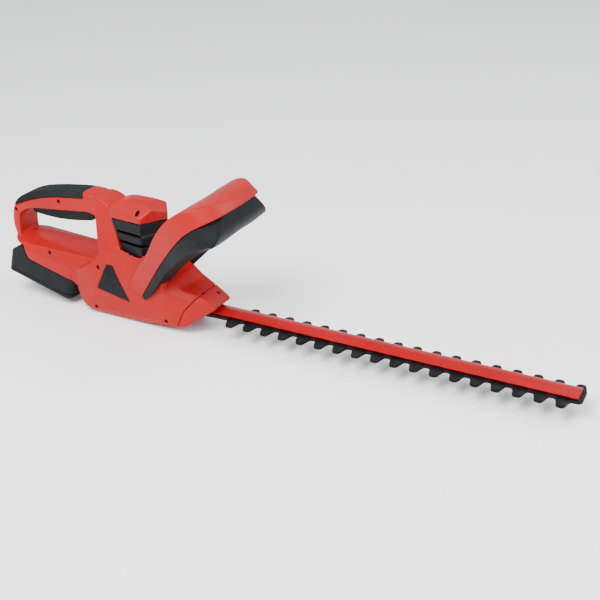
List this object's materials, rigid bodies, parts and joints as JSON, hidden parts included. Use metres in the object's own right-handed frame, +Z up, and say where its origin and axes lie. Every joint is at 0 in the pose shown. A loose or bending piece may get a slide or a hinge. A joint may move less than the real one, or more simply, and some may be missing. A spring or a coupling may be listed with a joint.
{
  "type": "hedge trimmer",
  "caption": "Cordless hedge trimmer with a slide-on battery, rear D handle, wrap-round front handle and two toothed blades sliding under a red guard bar.",
  "frame": {"origin": "bottom centre of the whole tool's box: on the plane of the belly, half way between the rear handle and the blade tip", "axes": "+X towards the blade tip, +Z up, +Y to the user's left when holding the tool"},
  "size_m": [0.826, 0.1478, 0.2008],
  "materials": {
    "red_plastic": "satin moulded nylon with a fine grain",
    "charcoal_plastic": "satin charcoal moulding",
    "soft_grip": "matt soft overmould",
    "switch_plastic": "semi-gloss black",
    "guard_coat": "glossy red powder coat on an aluminium strip",
    "blade_steel": "blackened tool steel with ground cutting edges",
    "steel": "machined",
    "motor_metal": null,
    "brass": "machined",
    "screw_steel": "blackened"
  },
  "bodies": {
    "main_body": {"front_handle_shell": "red_plastic", "front_handle_cover": "charcoal_plastic", "front_switch": "switch_plastic", "housing_near": "red_plastic", "housing_far": "red_plastic", "nose_cover": "red_plastic", "badge_near": "charcoal_plastic", "badge_far": "charcoal_plastic", "grip_pad": "soft_grip", "trigger_switch": "switch_plastic", "grille_near": "charcoal_plastic", "grille_far": "charcoal_plastic", "terminal_block": "brass", "gear_pin": "steel", "motor": "motor_metal", "gear_plate": "steel", "blade_base_plate": "steel", "gear_bearing": "brass", "motor_mount": "steel", "guard_bar": "guard_coat", "blade_bolt_1": "screw_steel", "blade_bolt_2": "screw_steel", "blade_bolt_3": "screw_steel", "blade_bolt_4": "screw_steel", "blade_bolt_5": "screw_steel", "housing_screw_1": "screw_steel", "housing_screw_2": "screw_steel", "housing_screw_3": "screw_steel", "housing_screw_4": "screw_steel", "housing_screw_5": "screw_steel", "housing_screw_6": "screw_steel", "housing_screw_7": "screw_steel", "nose_screw_1": "screw_steel", "nose_screw_2": "screw_steel"},
    "trigger": {"trigger": "charcoal_plastic"},
    "front_switch_bar": {"front_switch_bar": "soft_grip"},
    "battery": {"battery_tray": "charcoal_plastic", "battery_lid": "charcoal_plastic", "battery_cells": "motor_metal"},
    "battery_latch": {"battery_latch": "soft_grip"},
    "upper_blade": {"upper_blade": "blade_steel"},
    "lower_blade": {"lower_blade": "blade_steel"},
    "crank_gear": {"drive_gear": "steel"},
    "motor_rotor": {"motor_pinion": "brass", "motor_fan": "switch_plastic"}
  },
  "joints": [
    {"name": "trigger_pull", "type": "hinge", "parent": "main_body", "child": "trigger", "pos_m": [-0.277, 0, 0.1373], "axis": [0, 1, 0], "range_deg": [0, 4], "stiffness_Nm_per_rad": 1.5},
    {"name": "front_switch_press", "type": "slide", "parent": "main_body", "child": "front_switch_bar", "axis": [0.6428, 0, 0.766], "range_m": [0, 0.003], "stiffness_N_per_m": 800},
    {"name": "battery_slide", "type": "slide", "parent": "main_body", "child": "battery", "axis": [-0.9681, 0, 0.2504], "range_m": [0, 0.1]},
    {"name": "battery_latch_press", "type": "slide", "parent": "battery", "child": "battery_latch", "axis": [-0.2504, 0, -0.9681], "range_m": [0, 0.002], "stiffness_N_per_m": 600},
    {"name": "upper_blade_stroke", "type": "slide", "parent": "main_body", "child": "upper_blade", "axis": [1, 0, 0], "range_m": [-0.008, 0.008]},
    {"name": "lower_blade_stroke", "type": "slide", "parent": "main_body", "child": "lower_blade", "axis": [1, 0, 0], "range_m": [-0.008, 0.008]},
    {"name": "crank_spin", "type": "hinge", "parent": "main_body", "child": "crank_gear", "pos_m": [-0.147, 0, 0.0343], "axis": [0, 0, 1], "continuous": true},
    {"name": "motor_spin", "type": "hinge", "parent": "main_body", "child": "motor_rotor", "pos_m": [-0.183, 0, 0.0553], "axis": [0, 0, 1], "continuous": true}
  ],
  "couplings": [
    {"joint": "lower_blade_stroke", "follows": "upper_blade_stroke", "ratio": -1},
    {"joint": "motor_spin", "follows": "crank_spin", "ratio": -5}
  ]
}
